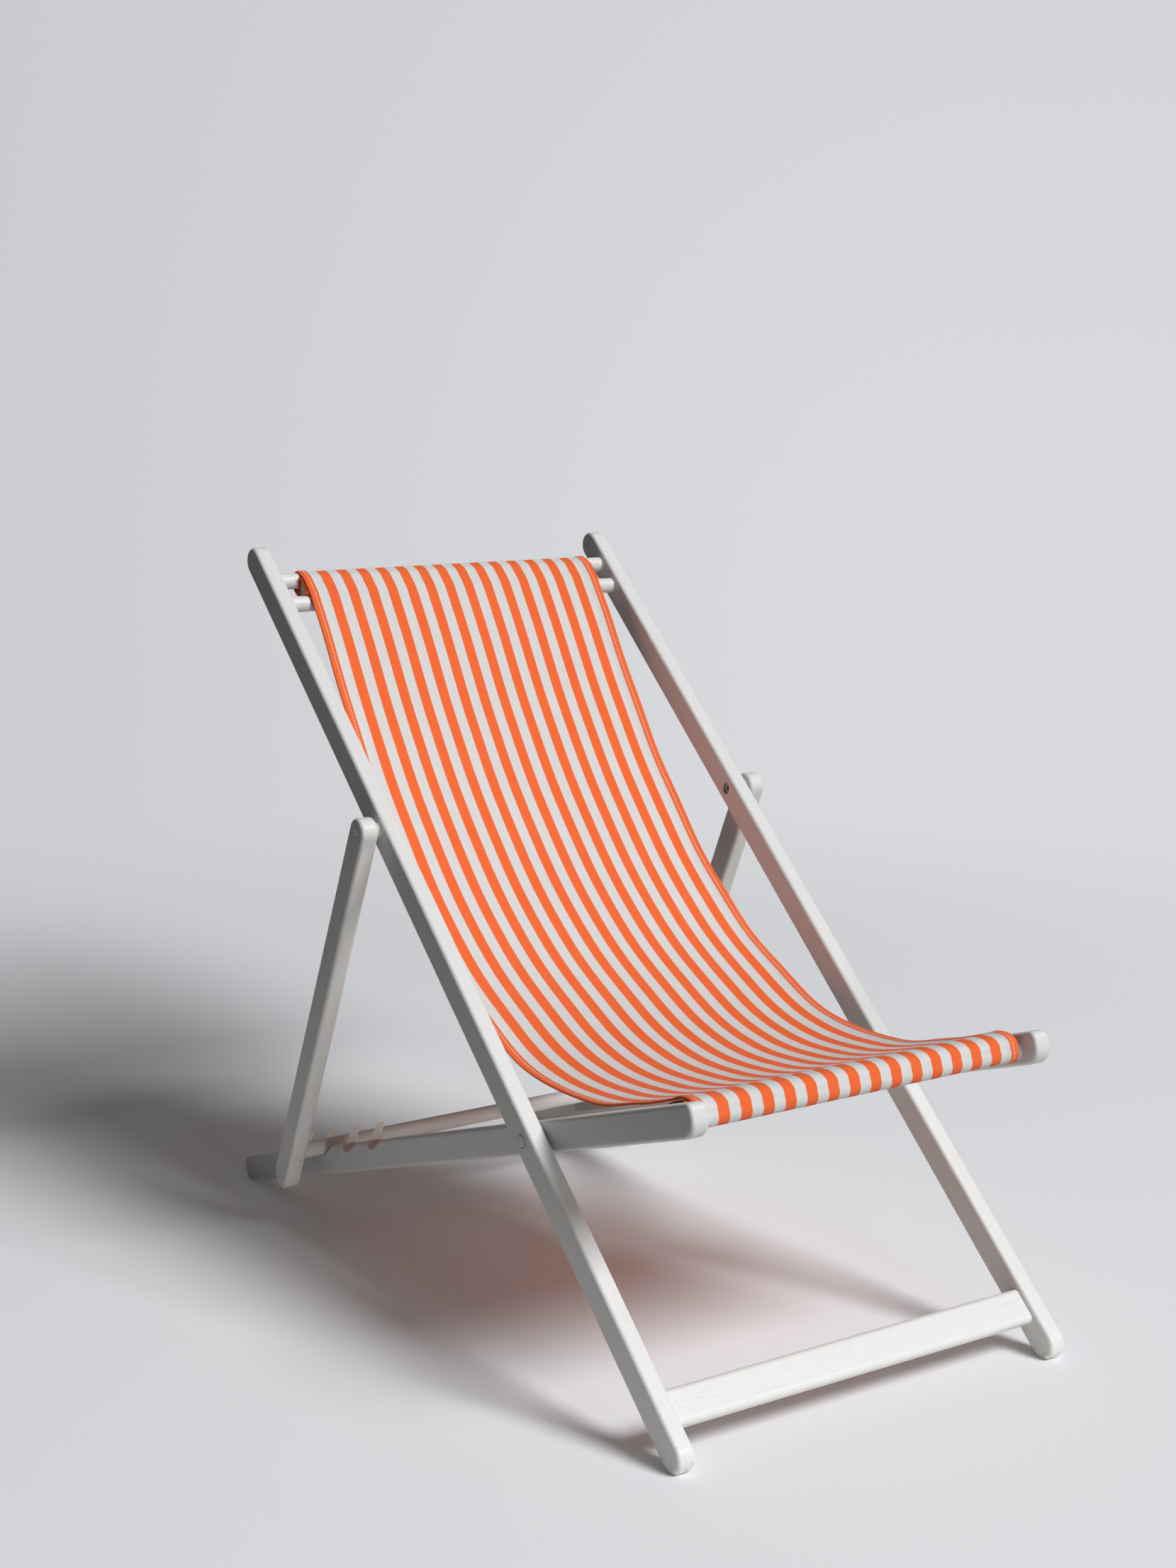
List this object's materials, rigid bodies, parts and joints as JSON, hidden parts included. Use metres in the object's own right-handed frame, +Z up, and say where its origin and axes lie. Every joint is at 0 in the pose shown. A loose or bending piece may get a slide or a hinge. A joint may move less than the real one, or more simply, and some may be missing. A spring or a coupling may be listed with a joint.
{
  "type": "folding deck chair",
  "caption": "Folding wooden deck chair: crossed painted frames, a prop frame on a notched seat frame, and a hanging striped canvas sling.",
  "frame": {"origin": "middle of the footprint, on the floor", "axes": "+X across the chair, the sitter faces -Y, +Z up"},
  "size_m": [0.5878, 1.0686, 0.8725],
  "materials": {
    "painted_wood": "white satin paint over fine grain",
    "bare_wood": "bare planed wood",
    "nylon": "milky moulded nylon",
    "steel": "zinc plated",
    "canvas": "plain weave cotton, orange and white stripes"
  },
  "bodies": {
    "seat_frame": {"seat_rail_left": "painted_wood", "seat_rail_right": "painted_wood", "front_dowel_outer": "painted_wood", "front_dowel_inner": "painted_wood", "hook_rack_left": "nylon", "hook_rack_right": "nylon", "rack_screws": "steel", "front_batten": "painted_wood", "sling": "canvas"},
    "main_frame": {"main_rail_left": "painted_wood", "main_rail_right": "painted_wood", "top_dowel_upper": "painted_wood", "top_dowel_lower": "painted_wood", "front_slat": "painted_wood", "slat_pins": "bare_wood", "top_batten": "painted_wood", "seat_pivot_bolts": "steel", "seat_pivot_nuts": "steel", "seat_pivot_spacers": "nylon", "strut_pivot_bolts": "steel", "strut_pivot_nuts": "steel", "strut_pivot_spacers": "nylon"},
    "strut_frame": {"strut_leg_left": "painted_wood", "strut_leg_right": "painted_wood", "strut_dowel": "painted_wood", "strut_brads": "steel"}
  },
  "joints": [
    {"name": "fold", "type": "hinge", "parent": "seat_frame", "child": "main_frame", "pos_m": [0, -0.2385, 0.26975], "axis": [1, 0, 0], "range_deg": [0, 107], "deforming": ["sling"]},
    {"name": "strut_swing", "type": "hinge", "parent": "main_frame", "child": "strut_frame", "pos_m": [0, 0.0813, 0.56107], "axis": [-1, 0, 0], "range_deg": [0, 67.04]}
  ],
  "couplings": [
    {"joint": "strut_swing", "follows": "fold", "ratio": 0.6256}
  ]
}
